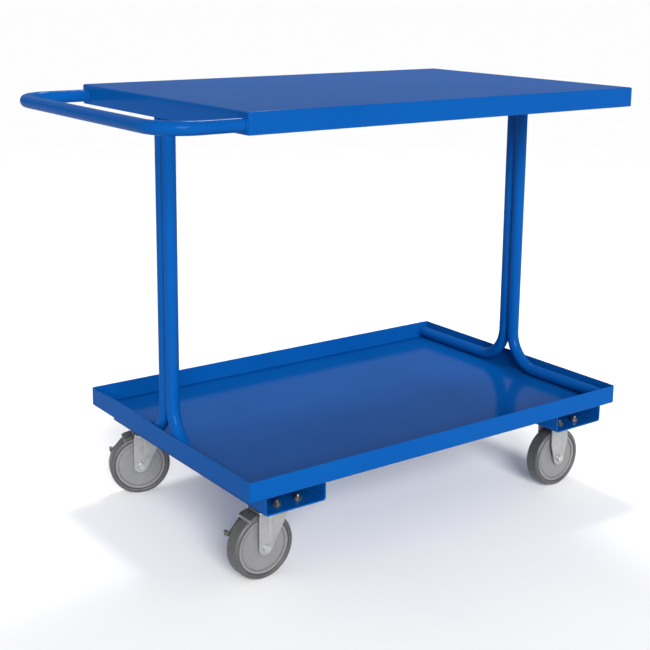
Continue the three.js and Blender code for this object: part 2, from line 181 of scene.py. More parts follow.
def ramp(tree, factor, stops):
    """A colour ramp of (position, colour) stops."""
    node = add_node(tree, "ShaderNodeValToRGB")
    elements = node.color_ramp.elements
    while len(elements) < len(stops):
        elements.new(0.5)
    for element, (position, color) in zip(elements, stops):
        element.position = position
        element.color = (*color, 1.0)
    tree.links.new(factor, node.inputs["Fac"])
    return node.outputs["Color"]


def grey(level):
    """A neutral colour."""
    return (level, level, level)


def number_range(tree, factor, low, high):
    """A factor of 0..1 brought to low..high."""
    node = add_node(tree, "ShaderNodeMapRange", in_To_Min=low, in_To_Max=high)
    tree.links.new(factor, node.inputs["Value"])
    return node.outputs["Result"]


def mixed(tree, factor, first, second):
    """A textured colour mixed towards a plain second one by a textured factor."""
    node = add_node(tree, "ShaderNodeMix", data_type="RGBA")
    factor_in, first_in, second_in = node.inputs[0], node.inputs[6], node.inputs[7]
    tree.links.new(factor, factor_in)
    tree.links.new(first, first_in)
    second_in.default_value = (*second, 1.0)
    return node.outputs[2]


def bumps(tree, bsdf, layers):
    """A chain of bump nodes from (height socket, strength, distance), linked to the shader."""
    normal = None
    for height, strength, distance in layers:
        node = add_node(tree, "ShaderNodeBump", in_Strength=strength, in_Distance=distance)
        tree.links.new(height, node.inputs["Height"])
        if normal:
            tree.links.new(normal, node.inputs["Normal"])
        normal = node.outputs["Normal"]
    tree.links.new(normal, bsdf.inputs["Normal"])
    return normal


def chip_and_highlight_mask(tree, threshold):
    """Small lighter chips where the mesh's wear attribute is high: part paint wear, part painted edge
    highlight.
    """
    attribute = add_node(tree, "ShaderNodeAttribute", attribute_name="wear")
    speckle = object_noise(tree, 260, 4.0, 0.65)
    product = add_node(tree, "ShaderNodeMath", operation="MULTIPLY")
    tree.links.new(attribute.outputs["Fac"], product.inputs[0])
    tree.links.new(speckle, product.inputs[1])
    return ramp(tree, product.outputs[0], [(threshold, grey(0)), (threshold + 0.03, grey(1))])


def powder_blue():
    """Semi-gloss blue powder coat with orange peel, a slow wave in the sheet, dust, and lighter chips on
    the edges that are part wear and part painted highlight.
    """
    material, tree, bsdf = shader("powder_blue", (0.0, 0.061, 0.256), 0.55, Specular_IOR_Level=0.0,
                                  Coat_Weight=0.33, Coat_Roughness=0.14, Coat_IOR=1.2)
    drift = object_noise(tree, 5.0, 2.0)
    tint = ramp(tree, drift, [(0.3, (0.0, 0.058, 0.248)), (0.7, (0.0002, 0.064, 0.264))])
    dust = object_noise(tree, 38, 5.0, 0.6)
    dusty = mixed(tree, number_range(tree, dust, 0.0, 0.012), tint, (0.20, 0.25, 0.33))
    # Lighter chips on the edges: part paint wear, part painted highlight.
    chips_and_highlights = chip_and_highlight_mask(tree, 0.67)
    color = mixed(tree, chips_and_highlights, dusty, (0.10, 0.16, 0.24))
    tree.links.new(color, bsdf.inputs["Base Color"])
    tree.links.new(number_range(tree, dust, 0.45, 0.65), bsdf.inputs["Roughness"])
    peel = object_noise(tree, 520, 2.0, 0.4)
    wave = object_noise(tree, 9, 1.0, 0.3)
    normal = bumps(tree, bsdf, [(wave, 0.25, 0.0016), (peel, 0.10, 0.00025)])
    tree.links.new(normal, bsdf.inputs["Coat Normal"])
    return material


def zinc_plate(name, low, high, roughness, metallic):
    """Zinc-plated steel: cloudy plating between two colours, and fine drawing lines."""
    material, tree, bsdf = shader(name, low, roughness, metallic=metallic)
    cloud = object_noise(tree, 70, 4.0, 0.6)
    lines = object_noise(tree, 900, 2.0, 0.5, stretch=(1, 1, 0.06))
    tint = ramp(tree, cloud, [(0.25, low), (0.75, high)])
    streaked = mixed(tree, number_range(tree, lines, 0.0, 0.22), tint, (0.75, 0.75, 0.76))
    tree.links.new(streaked, bsdf.inputs["Base Color"])
    tree.links.new(number_range(tree, cloud, roughness - 0.08, roughness + 0.12), bsdf.inputs["Roughness"])
    bumps(tree, bsdf, [(lines, 0.12, 0.0002), (cloud, 0.10, 0.0003)])
    return material


def dark_steel():
    """Dull grey steel whose darkness is painted shade from the deck above the pedal, with rubbed, lighter
    patches.
    """
    material, tree, bsdf = shader("dark_steel", (0.11, 0.11, 0.104), 0.42, metallic=0.5)
    rub = object_noise(tree, 120, 4.0, 0.6)
    tint = ramp(tree, rub, [(0.35, (0.085, 0.085, 0.08)), (0.75, (0.13, 0.13, 0.123))])
    tree.links.new(tint, bsdf.inputs["Base Color"])
    tree.links.new(number_range(tree, rub, 0.32, 0.55), bsdf.inputs["Roughness"])
    grain = object_noise(tree, 1100, 2.0, 0.5)
    bumps(tree, bsdf, [(grain, 0.15, 0.0002)])
    return material


def tyre_rubber():
    """Grey thermoplastic rubber: satin, faint moulding texture and a little floor dust."""
    material, tree, bsdf = shader("tyre_rubber", (0.06, 0.06, 0.063), 0.42)
    patch = object_noise(tree, 55, 4.0, 0.6)
    tint = ramp(tree, patch, [(0.3, (0.046, 0.046, 0.048)), (0.75, (0.073, 0.073, 0.075))])
    tree.links.new(tint, bsdf.inputs["Base Color"])
    tree.links.new(number_range(tree, patch, 0.36, 0.55), bsdf.inputs["Roughness"])
    grain = object_noise(tree, 1400, 2.0, 0.5)
    bumps(tree, bsdf, [(grain, 0.12, 0.0002)])
    return material


def core_plastic():
    """Light grey moulded polypropylene with faint flow marks."""
    material, tree, bsdf = shader("core_plastic", (0.158, 0.158, 0.161), 0.45)
    flow = object_noise(tree, 28, 5.0, 0.6)
    tint = ramp(tree, flow, [(0.3, (0.146, 0.146, 0.148)), (0.75, (0.172, 0.172, 0.175))])
    tree.links.new(tint, bsdf.inputs["Base Color"])
    tree.links.new(number_range(tree, flow, 0.38, 0.52), bsdf.inputs["Roughness"])
    grain = object_noise(tree, 1300, 2.0, 0.5)
    bumps(tree, bsdf, [(grain, 0.10, 0.00015)])
    return material


BLUE = powder_blue()
ZINC = zinc_plate("zinc_plate", (0.20, 0.203, 0.204), (0.27, 0.274, 0.277), 0.44, 0.45)
BRIGHT = zinc_plate("bright_zinc", (0.36, 0.36, 0.365), (0.48, 0.48, 0.485), 0.32, 0.8)
# The fixings' zinc is painted darker than the casters' zinc: painted shade for the dark inside of the
# channel.
FIXING_ZINC_PAINTED_SHADE = zinc_plate("bolt_zinc", (0.11, 0.112, 0.115), (0.17, 0.172, 0.175), 0.34, 0.85)
PEDAL_SHADED_STEEL = dark_steel()
RUBBER = tyre_rubber()
PLASTIC = core_plastic()


# ---- Mesh helpers -----------------------------------------------------------------------
def turns(segments):
    """Angles once round a circle."""
    return [TAU * i / segments for i in range(segments)]


def circle(matrix, radius, level, segments):
    """A ring of points about local Z."""
    return [matrix @ Vector((radius * math.cos(a), radius * math.sin(a), level)) for a in turns(segments)]


def loft(bm, rings, caps=True, closed=False):
    """Quads between rings of equal size, with a face on each end unless the last joins the first."""
    rows = [[bm.verts.new(point) for point in ring] for ring in rings]
    pairs = list(zip(rows, rows[1:]))
    if closed:
        pairs.append((rows[-1], rows[0]))
    for low, high in pairs:
        for i in range(len(low)):
            j = (i + 1) % len(low)
            bm.faces.new((low[i], low[j], high[j], high[i]))
    if caps and not closed:
        bm.faces.new(rows[0][::-1])
        bm.faces.new(rows[-1])
    return rows


def arc(centre, radius, start, end, steps):
    """Points on an arc in a plane, angles in degrees."""
    angles = [math.radians(start + (end - start) * i / steps) for i in range(steps + 1)]
    return [(centre[0] + radius * math.cos(a), centre[1] + radius * math.sin(a)) for a in angles]


def rounded_rectangle(half_x, half_y, radius, steps):
    """Corner arcs of a rounded rectangle, anticlockwise."""
    x, y = half_x - radius, half_y - radius
    corners = ((x, y, 0), (-x, y, 90), (-x, -y, 180), (x, -y, 270))
    return [p for cx, cy, a in corners for p in arc((cx, cy), radius, a, a + 90, steps)]


def revolve(bm, profile, segments, matrix, closed=True):
    """A solid of revolution about local Y from (radius, along) points.

    A closed profile is a ring section. An open one starts and ends near the axis.
    """
    rings = []
    for radius, along in profile:
        rings.append([matrix @ Vector((radius * math.cos(a), along, radius * math.sin(a)))
                      for a in turns(segments)])
    loft(bm, rings, caps=not closed, closed=closed)


def hexagon(bm, matrix, low, high, chamfers=(False, True), bore=0.0):
    """A hexagonal head or nut along local Z, each end plain or with a turned chamfer."""
    segments = 48
    face = HEX_ACROSS / 2 * HEX_FACE
    slope = math.tan(math.radians(HEX_CHAMFER))
    sides = [HEX_ACROSS / 2 / math.cos((a + math.pi / 6) % (math.pi / 3) - math.pi / 6)
             for a in turns(segments)]

    def ring(points):
        return [matrix @ Vector((r * math.cos(a), r * math.sin(a), z))
                for a, (r, z) in zip(turns(segments), points)]

    def end(z, inwards, chamfered):
        if not chamfered:
            return [ring([(side, z) for side in sides])]
        cut = [(side, z + inwards * max(0.0, side - face) * slope) for side in sides]
        return [ring([(min(side, face), z) for side in sides]), ring(cut)]

    rings = end(low, 1, chamfers[0]) + end(high, -1, chamfers[1])[::-1]
    if bore:
        rings = [circle(matrix, bore, low, segments)] + rings + [circle(matrix, bore, high, segments)]
    loft(bm, rings, closed=bool(bore))


def thread(bm, matrix, low, high):
    """A threaded end along local Z, with a helical ridge and a narrower last ring."""
    segments = 24
    rings_per_turn = 4
    tip = 0.82  # the last ring's share of the radius
    crest = THREAD_RADIUS - 0.10 * THREAD_PITCH
    groove = 0.45 * THREAD_PITCH
    count = max(4, round((high - low) / (THREAD_PITCH / rings_per_turn)))
    rings = []
    for k in range(count + 1):
        z = low + (high - low) * k / count
        shrink = tip if k == count else 1.0
        ring = []
        for i, a in enumerate(turns(segments)):
            phase = ((z - low) / THREAD_PITCH - i / segments) % 1.0
            ridge = abs(2 * phase - 1)
            r = (crest - groove * (1 - ridge)) * shrink
            ring.append(matrix @ Vector((r * math.cos(a), r * math.sin(a), z)))
        rings.append(ring)
    loft(bm, rings)


def disc(bm, matrix, radius, low, high, edge=0.3 * MM, bore=0.0, segments=40):
    """A washer, pin or collar along local Z with softened edges."""
    profile = [(radius - edge, low), (radius, low + edge), (radius, high - edge), (radius - edge, high)]
    if bore:
        profile = [(bore, low)] + profile + [(bore, high)]
    loft(bm, [circle(matrix, r, z, segments) for r, z in profile], closed=bool(bore))


def prism(bm, outline, low, high, matrix):
    """A flat plate from an outline in local XY, between two heights along local Z."""
    loft(bm, [[matrix @ Vector((x, y, z)) for x, y in outline] for z in (low, high)])


def add_piece(name, bm, material, body, nodes=(), bevel=0.0, solid=0.0):
    """Turns a bmesh into a shown piece that rides on a body and stands for CAD nodes.

    solid thickens an open sheet both ways, and bevel softens the sharp edges.
    """
    bmesh.ops.remove_doubles(bm, verts=bm.verts[:], dist=1e-7)
    bmesh.ops.recalc_face_normals(bm, faces=bm.faces[:])
    mesh = bpy.data.meshes.new(name)
    bm.to_mesh(mesh)
    bm.free()
    for polygon in mesh.polygons:
        polygon.use_smooth = True
    mesh.materials.append(material)
    piece = bpy.data.objects.new(name, mesh)
    bpy.context.scene.collection.objects.link(piece)
    if solid:
        thickness = piece.modifiers.new("thickness", "SOLIDIFY")
        thickness.thickness = solid
        thickness.offset = 0.0
        thickness.use_even_offset = True
    if bevel:
        soften = piece.modifiers.new("soften", "BEVEL")
        soften.width = bevel
        soften.segments = 3
        soften.limit_method = "ANGLE"
        soften.angle_limit = BEVEL_ANGLE
    if not solid and not bevel:
        mesh.set_sharp_from_angle(angle=SHARP_ANGLE)
    weighted = piece.modifiers.new("weighted", "WEIGHTED_NORMAL")
    weighted.keep_sharp = True
    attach(piece, body)
    if nodes:
        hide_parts(*nodes)


# ---- Sheet trays ------------------------------------------------------------------------
def tray_profile(height):
    """(inset from the outer face, height) from the floor's inside, over the rim, to its underside."""
    inner_fold = SHEET_FOLD - SHEET
    inside = arc((SHEET_FOLD, SHEET_FOLD), inner_fold, 270, 180, 5)
    across, down = 0.4 * SHEET_EDGE, 0.3 * SHEET_EDGE  # the middle of each softened rim edge
    rim = [(SHEET, height - SHEET_EDGE), (SHEET - across, height - down), (SHEET - SHEET_EDGE, height),
           (SHEET_EDGE, height), (across, height - down), (0, height - SHEET_EDGE)]
    outside = arc((SHEET_FOLD, SHEET_FOLD), SHEET_FOLD, 180, 270, 7)
    return [(FLOOR_STRIP, SHEET)] + inside + rim + outside + [(FLOOR_STRIP, 0)]


def sheet_tray(node, upside_down):
    """A folded sheet tray the size of its CAD node, with the lips up or hanging down."""
    low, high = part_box(node)
    half_x, half_y = (high.x - low.x) / 2, (high.y - low.y) / 2
    centre = (low + high) / 2
    height = high.z - low.z
    bm = bmesh.new()
    wear = bm.verts.layers.float.new("wear")
    rings = []
    for inset, z in tray_profile(height):
        radius = max(SHEET_CORNER - inset, TIGHTEST_CORNER)
        level = high.z - z if upside_down else low.z + z
        outline = rounded_rectangle(half_x - inset, half_y - inset, radius, 8)
        rings.append([(centre.x + x, centre.y + y, level) for x, y in outline])
    rows = loft(bm, rings)
    # Rims and folds are marked for lighter chips, which stand for paint wear and also paint a highlight on
    # the edges.
    for row, (inset, z) in zip(rows, tray_profile(height)):
        amount = 0.0
        if z > height - 2 * SHEET_EDGE:
            amount = EDGE_WEAR_AND_HIGHLIGHT
        elif inset < SHEET_FOLD and z < SHEET_FOLD:
            amount = FOLD_WEAR_AND_HIGHLIGHT
        for vert in row:
            vert[wear] = amount
    add_piece(f"{node}_sheet", bm, BLUE, "frame", [node])


# ---- Bent tube --------------------------------------------------------------------------
def tube_path(corners, bend, steps=20):
    """Places and headings along straight runs joined by arcs at the corners."""
    points = [Vector(corner) for corner in corners]
    headings = [(b - a).normalized() for a, b in zip(points, points[1:])]
    path = [(points[0], headings[0])]
    for i, (before, after) in enumerate(zip(headings, headings[1:]), start=1):
        start = points[i] - before * bend
        centre = start + after * bend
        for step in range(steps + 1):
            turn = math.pi / 2 * step / steps
            place = centre - after * bend * math.cos(turn) + before * bend * math.sin(turn)
            path.append((place, before * math.cos(turn) + after * math.sin(turn)))
    path.append((points[-1], headings[-1]))
    return path


def tube(bm, path, radius):
    """A tube along a path bent in one plane, open at both ends, with the wall drawn near them."""
    segments = 40
    bore = radius - TUBE_WALL
    across = path[0][1].cross(path[len(path) // 2][1]).normalized()

    def ring(place, heading, r):
        up = heading.cross(across)
        return [place + across * r * math.cos(a) + up * r * math.sin(a) for a in turns(segments)]

    outer = [ring(place, heading, radius) for place, heading in path]
    loft(bm, outer, caps=False)
    for rim, (place, heading), inwards in ((outer[-1], path[-1], -1), (outer[0], path[0], 1)):
        deep = place + heading * inwards * TUBE_DEPTH
        loft(bm, [rim, ring(place, heading, bore), ring(deep, heading, bore)], caps=False)


def post_corners(node, side):
    """Top, bend corner and foot of one end post, from its CAD box."""
    low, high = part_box(node)
    x = (low.x + high.x) / 2
    upright_y = low.y + TUBE_RADIUS if side > 0 else high.y - TUBE_RADIUS
    foot_y = high.y if side > 0 else low.y
    run_z = low.z + TUBE_RADIUS
    return [(x, upright_y, high.z), (x, upright_y, run_z), (x, foot_y, run_z)]


def end_posts():
    """Two bent tubes side by side at each end."""
    for end in ("handle_end", "load_end"):
        for side_name, side in (("front", -1), ("rear", 1)):
            node = f"{end}_post_{side_name}"
            bm = bmesh.new()
            tube(bm, tube_path(post_corners(node, side), POST_BEND), TUBE_RADIUS + PAINT_FILL)
            add_piece(f"{node}_tube", bm, BLUE, "frame", [node])


def post_seams():
    """The painted-over seam that joins each pair of uprights into one post."""
    radius = TUBE_RADIUS + PAINT_FILL
    half_steps = 6
    across = [SEAM_HALF * (i / half_steps - 1) for i in range(2 * half_steps + 1)]
    side = [(x, radius - math.sqrt(radius**2 - x * x) + SEAM_OVERLAP) for x in across]
    outline = side + [(x, -y) for x, y in reversed(side)]
    for end in ("handle_end", "load_end"):
        top, corner, _ = post_corners(f"{end}_post_front", -1)
        bm = bmesh.new()
        place = Matrix.Translation(Vector((top[0], 0, 0)))
        prism(bm, outline, corner[2] + POST_BEND, top[2], place)
        add_piece(f"{end}_post_seam", bm, BLUE, "frame")


def handle_corners():
    """The handle's ends and bend corners, from its CAD box."""
    low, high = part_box("push_handle")
    z = (low.z + high.z) / 2
    front, rear = low.y + HANDLE_TUBE_RADIUS, high.y - HANDLE_TUBE_RADIUS
    grip = low.x + HANDLE_TUBE_RADIUS
    return [(high.x, front, z), (grip, front, z), (grip, rear, z), (high.x, rear, z)]


def push_handle():
    """The bent grip bar behind the top shelf."""
    bm = bmesh.new()
    tube(bm, tube_path(handle_corners(), HANDLE_BEND, 24), HANDLE_TUBE_RADIUS)
    add_piece("push_handle_tube", bm, BLUE, "frame", ["push_handle"])


# ---- Weld beads -------------------------------------------------------------------------
def bead(bm, points, chance, closed=False):
    """A rippled weld bead along points, thinner at its ends unless it goes all the way round."""
    lengths = [(b - a).length for a, b in zip(points, points[1:])]
    travelled = 0.0
    rings = []
    for i, place in enumerate(points):
        ahead = points[min(i + 1, len(points) - 1)] - points[max(i - 1, 0)]
        heading = ahead.normalized()
        across = heading.orthogonal().normalized()
        up = heading.cross(across)
        ripple = abs(math.sin(math.pi * travelled / BEAD_PITCH))
        end = min(i, len(points) - 1 - i)
        taper = 1.0 if closed else min(1.0, 0.45 + 0.2 * end)
        r = BEAD_RADIUS * taper * (0.82 + 0.22 * ripple + 0.05 * chance.random())
        rings.append([place + across * r * math.cos(a) + up * r * math.sin(a) for a in turns(10)])
        travelled += lengths[i] if i < len(lengths) else 0.0
    loft(bm, rings)


def ring_points(centre, radius, across, up, start=0.0, end=360.0, steps=120):
    """Points round a circle in the plane of across and up, angles in degrees."""
    angles = [math.radians(start + (end - start) * i / steps) for i in range(steps + 1)]
    return [centre + across * radius * math.cos(a) + up * radius * math.sin(a) for a in angles]


def line_points(start, end):
    """Points a quarter of a ripple apart along a line."""
    steps = max(4, round((end - start).length / (BEAD_PITCH / 4)))
    return [start.lerp(end, i / steps) for i in range(steps + 1)]


def handle_welds(chance):
    """A bead right round each end of the handle, on the shelf's lip."""
    radius = HANDLE_TUBE_RADIUS + WELD_GAP
    for name, corner in (("front", handle_corners()[0]), ("rear", handle_corners()[-1])):
        bm = bmesh.new()
        centre = Vector((shelf_low.x - WELD_GAP, corner[1], corner[2]))
        bead(bm, ring_points(centre, radius, Y_AXIS, Z_AXIS), chance, closed=True)
        add_piece(f"handle_weld_{name}", bm, BLUE, "frame")


def post_welds(chance):
    """A bead under the shelf and one on the deck's lip, where each post can be reached."""
    radius = TUBE_RADIUS + WELD_GAP
    for end, foot_middle in (("handle_end", 45.0), ("load_end", 135.0)):
        for side_name, side in (("front", -1), ("rear", 1)):
            top, _, foot = (Vector(p) for p in post_corners(f"{end}_post_{side_name}", side))
            bm = bmesh.new()
            top_centre = top - Z_AXIS * WELD_GAP
            start, end_angle = 90.0 * side - 128, 90.0 * side + 128
            bead(bm, ring_points(top_centre, radius, X_AXIS, Y_AXIS, start, end_angle, 90), chance)
            foot_centre = foot - Y_AXIS * side * WELD_GAP
            start, end_angle = foot_middle - 65, foot_middle + 65
            bead(bm, ring_points(foot_centre, radius, X_AXIS, Z_AXIS, start, end_angle, 50), chance)
            add_piece(f"{end}_post_weld_{side_name}", bm, BLUE, "frame")


def channel_welds(chance):
    """Four short beads along each side of each channel, under the deck."""
    for end in ("handle_end", "load_end"):
        low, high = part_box(f"{end}_channel")
        bm = bmesh.new()
        for x, outward in ((low.x, -1), (high.x, 1)):
            for share in CHANNEL_WELD_SHARES:
                middle = Vector((x + outward * 0.4 * MM, high.y * share, deck_low.z - WELD_GAP))
                start = middle - Y_AXIS * CHANNEL_WELD / 2
                bead(bm, line_points(start, start + Y_AXIS * CHANNEL_WELD), chance)
        add_piece(f"{end}_channel_welds", bm, BLUE, "frame")


def weld_beads():
    """The painted-over beads that hold the tubes and channels to the sheet."""
    chance = random.Random(7)
    handle_welds(chance)
    post_welds(chance)
    channel_welds(chance)


# ---- Caster channels --------------------------------------------------------------------
def caster_channel(end):
    """A folded channel across the trolley, open upwards, with the casters under its web."""
    node = f"{end}_channel"
    low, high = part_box(node)
    width, height = high.x - low.x, high.z - low.z
    inner_fold = CHANNEL_FOLD - CHANNEL_SHEET
    outer = [(0, height)]
    outer += arc((CHANNEL_FOLD, CHANNEL_FOLD), CHANNEL_FOLD, 180, 270, 8)
    outer += arc((width - CHANNEL_FOLD, CHANNEL_FOLD), CHANNEL_FOLD, 270, 360, 8)
    outer += [(width, height), (width - CHANNEL_SHEET, height)]
    outer += arc((width - CHANNEL_FOLD, CHANNEL_FOLD), inner_fold, 360, 270, 6)
    outer += arc((CHANNEL_FOLD, CHANNEL_FOLD), inner_fold, 270, 180, 6)
    outer += [(CHANNEL_SHEET, height)]
    bm = bmesh.new()
    along = [low.y, (low.y + high.y) / 2, high.y]
    loft(bm, [[(low.x + x, y, low.z + z) for x, z in outer] for y in along])
    add_piece(f"{end}_channel_sheet", bm, BLUE, "frame", [node], bevel=0.5 * MM)


# ---- Fasteners --------------------------------------------------------------------------
def caster_bolts(prefix):
    """Four hexagon bolts with washers and nuts, threads showing above the channel web."""
    for number in range(1, 5):
        node = f"{prefix}_bolt_{number}"
        low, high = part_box(node)
        centre = (low + high) / 2
        spun = Matrix.Rotation(math.radians(17 * number), 4, "Z")
        place = Matrix.Translation(Vector((centre.x, centre.y, 0))) @ spun
        head_top = low.z + BOLT_HEAD
        washer_top = web_top + WASHER_TOP
        bm = bmesh.new()
        hexagon(bm, place, low.z, head_top - HEAD_COLLAR, chamfers=(True, False))
        disc(bm, place, COLLAR_RADIUS, head_top - HEAD_COLLAR, head_top, edge=0.15 * MM)
        disc(bm, place, THREAD_RADIUS, head_top, web_top + 2 * MM, edge=0.05 * MM, segments=24)
        disc(bm, place, WASHER_RADIUS, web_top + 0.05 * MM, washer_top, bore=THREAD_RADIUS + 0.1 * MM)
        hexagon(bm, place, washer_top, web_top + NUT_TOP, chamfers=(True, True),
                bore=THREAD_RADIUS - 0.2 * MM)
        thread(bm, place, web_top + 1 * MM, high.z)
        # The fixings use the zinc that is painted darker as shade.
        add_piece(f"{prefix}_fixing_{number}", bm, FIXING_ZINC_PAINTED_SHADE, "frame", [node])


# ---- Wheels -----------------------------------------------------------------------------
def turned_with_axle(prefix, place):
    """A frame at a place, with local Y along the caster's axle at rest."""
    axis = joints[f"{prefix}_spin"]["axis"]
    turn = math.atan2(-axis[0], axis[1])
    return Matrix.Translation(place) @ Matrix.Rotation(turn, 4, "Z")


def axle_frame(prefix):
    """The frame in the middle of the wheel."""
    return turned_with_axle(prefix, Vector(joints[f"{prefix}_spin"]["pos_m"]))


def scaled(points):
    """Millimetre points in metres."""
    return [(a * MM, b * MM) for a, b in points]


def mirrored(side):
    """A side profile followed by its mirror image across the wheel's middle."""
    return side + [(radius, -along) for radius, along in reversed(side)]


def tyre_profile():
    """(radius, along the axle): bead on the rim, round shoulder, flat tread and its moulding line."""
    bead_side = [(52.3, 12.8), (52.6, 14.6), (53.4, 15.5), (54.6, 15.9)]
    shoulder = arc((56.2, 9.6), 6.3, 90, 0, 9)
    tread = [(62.38, 5.0), (62.38, 0.6), (62.5, 0.25)]
    return scaled(mirrored(bead_side + shoulder + tread))


def core_profile():
    """(radius, along the axle): hub, dished disc with a groove, and the rim under the tyre."""
    side = [(6.3, 17.4), (10.2, 17.4), (10.9, 17.0), (11.4, 14.6), (13.0, 12.4), (16.0, 11.7),
            (24.0, 11.5), (24.6, 11.1), (25.2, 11.1), (25.8, 11.5), (37.0, 11.8), (43.0, 12.0),
            (43.8, 11.9), (44.2, 10.7), (45.6, 10.6), (46.1, 12.6), (46.8, 13.6), (50.6, 13.9),
            (51.6, 13.7), (52.2, 12.9)]
    return scaled(mirrored(side))


def wheel(prefix):
    """Tyre and core, on the wheel's own body."""
    place = axle_frame(prefix)
    body = f"{prefix}_wheel"
    segments = 144
    bm = bmesh.new()
    revolve(bm, tyre_profile(), segments, place)
    add_piece(f"{prefix}_tyre_tread", bm, RUBBER, body, [f"{prefix}_tyre"])
    bm = bmesh.new()
    revolve(bm, core_profile(), segments, place)
    add_piece(f"{prefix}_core_disc", bm, PLASTIC, body, [f"{prefix}_wheel_core"])


def axle_set(prefix, body):
    """Bolt, lock nut and sleeve through the fork."""
    place = axle_frame(prefix)
    face = FORK_INSIDE + FORK_SHEET + 0.3 * MM
    head_side, nut_side = (place @ Matrix.Rotation(math.radians(turn), 4, "X") for turn in (90, -90))
    head_top, nut_top, thread_end = face + 5.4 * MM, face + 5.2 * MM, face + 9.2 * MM
    boss_radius, insert_radius, sleeve_radius = 4.6 * MM, 5.9 * MM, 6 * MM
    bm = bmesh.new()
    disc(bm, head_side, AXLE_WASHER_RADIUS, face - 0.2 * MM, face + AXLE_WASHER)
    hexagon(bm, head_side, face + AXLE_WASHER, head_top)
    disc(bm, head_side, boss_radius, head_top - 0.2 * MM, head_top + 0.2 * MM)
    disc(bm, nut_side, THREAD_RADIUS, -face, face + 1 * MM, edge=0.05 * MM, segments=24)
    thread(bm, nut_side, face + 0.5 * MM, thread_end)
    add_piece(f"{prefix}_axle_screw", bm, BRIGHT, body, [f"{prefix}_axle_bolt"])
    bm = bmesh.new()
    bore = THREAD_RADIUS + 0.1 * MM
    hexagon(bm, nut_side, face + 0.1 * MM, nut_top, chamfers=(True, True), bore=bore)
    disc(bm, nut_side, insert_radius, nut_top - 0.2 * MM, nut_top + 1.4 * MM, edge=0.6 * MM, bore=bore)
    add_piece(f"{prefix}_lock_nut", bm, BRIGHT, body, [f"{prefix}_axle_nut"])
    bm = bmesh.new()
    half = FORK_INSIDE - 0.3 * MM
    disc(bm, nut_side, sleeve_radius, -half, half, bore=THREAD_RADIUS + 0.3 * MM)
    add_piece(f"{prefix}_spacer_tube", bm, BRIGHT, body, [f"{prefix}_axle_sleeve"])


# ---- Forks ------------------------------------------------------------------------------
def tangent_edge(eye, top_x, top_z):
    """Where a straight edge from the top corner meets the axle eye's circle."""
    dx, dz = top_x - eye[0], top_z - eye[1]
    away = math.acos(FORK_EYE / math.hypot(dx, dz))
    angle = math.atan2(dz, dx) - math.copysign(away, dx)
    return eye[0] + FORK_EYE * math.cos(angle), eye[1] + FORK_EYE * math.sin(angle)


def edge_at(z, eye, top_x, shoulder_z, side):
    """The fork leg's edge at a height: straight, tapering to the eye, then round it."""
    if z >= shoulder_z:
        return top_x
    touch_x, touch_z = tangent_edge(eye, top_x, shoulder_z)
    if z >= touch_z:
        share = (z - touch_z) / (shoulder_z - touch_z)
        return touch_x + (top_x - touch_x) * share
    return eye[0] + side * math.sqrt(max(FORK_EYE**2 - (z - eye[1]) ** 2, 0.0))


def fork_rows(half, eye, leg_edges, shoulder_z, crown, crown_z):
    """(y, z, low X edge, high X edge) up one leg, round its fold, over the crown and down the other."""
    eye_steps, leg_steps, fold_steps, crown_steps = 8, 26, 8, 12
    low_x, high_x = leg_edges
    top = crown_z - FORK_FOLD
    bottom = eye[1] - FORK_EYE
    heights = [bottom + FORK_EYE * (1 - math.cos(math.pi / 2 * i / eye_steps))
               for i in range(eye_steps + 1)]
    heights[0] += 0.02 * MM  # so that the lowest row isn't a point
    heights += [eye[1] + (top - eye[1]) * i / leg_steps for i in range(1, leg_steps + 1)]
    rows = []
    for z in heights:
        edges = edge_at(z, eye, low_x, shoulder_z, -1), edge_at(z, eye, high_x, shoulder_z, 1)
        rows.append((-half, z, *edges))
    for i in range(1, fold_steps):
        a = math.pi / 2 * i / fold_steps
        y = -half + FORK_FOLD * (1 - math.cos(a))
        share = i / fold_steps
        crown_low, crown_high = crown(y)
        edges = low_x + (crown_low - low_x) * share, high_x + (crown_high - high_x) * share
        rows.append((y, top + FORK_FOLD * math.sin(a), *edges))
    for i in range(crown_steps + 1):
        y = (-half + FORK_FOLD) * (1 - i / crown_steps)
        rows.append((y, crown_z, *crown(y)))
    return rows + [(-y, z, a, b) for y, z, a, b in reversed(rows[:-1])]


def fork_sheet(bm, place, eye, leg_edges, shoulder_z, crown, crown_z, rib):
    """One pressed sheet: up a leg, over the crown and down the other leg.

    leg_edges are the legs' two X edges above shoulder_z, and crown(y) gives the crown's. rib(x, z)
    gives how far a leg is pressed out.
    """
    half = FORK_INSIDE + FORK_SHEET / 2
    columns = 34
    grid = []
    for y, z, x_low, x_high in fork_rows(half, eye, leg_edges, shoulder_z, crown, crown_z):
        on_leg = abs(abs(y) - half) < 1e-6
        line = []
        for k in range(columns + 1):
            x = x_low + (x_high - x_low) * k / columns
            push = math.copysign(rib(x, z), y) if on_leg else 0.0
            line.append(bm.verts.new(place @ Vector((x, y + push, z))))
        grid.append(line)
    for low, high in zip(grid, grid[1:]):
        for k in range(columns):
            bm.faces.new((low[k], low[k + 1], high[k + 1], high[k]))


def smooth_step(value, low, high):
    """0 below low, 1 above high, and a smooth curve between."""
    share = min(1.0, max(0.0, (value - low) / (high - low)))
    return share * share * (3 - 2 * share)


def pressed_ends(z, low_start, low_full, high_full, high_end):
    """How far a pressed rib has risen at a height, fading out at both ends."""
    return smooth_step(z, low_start, low_full) * (1 - smooth_step(z, high_full, high_end))


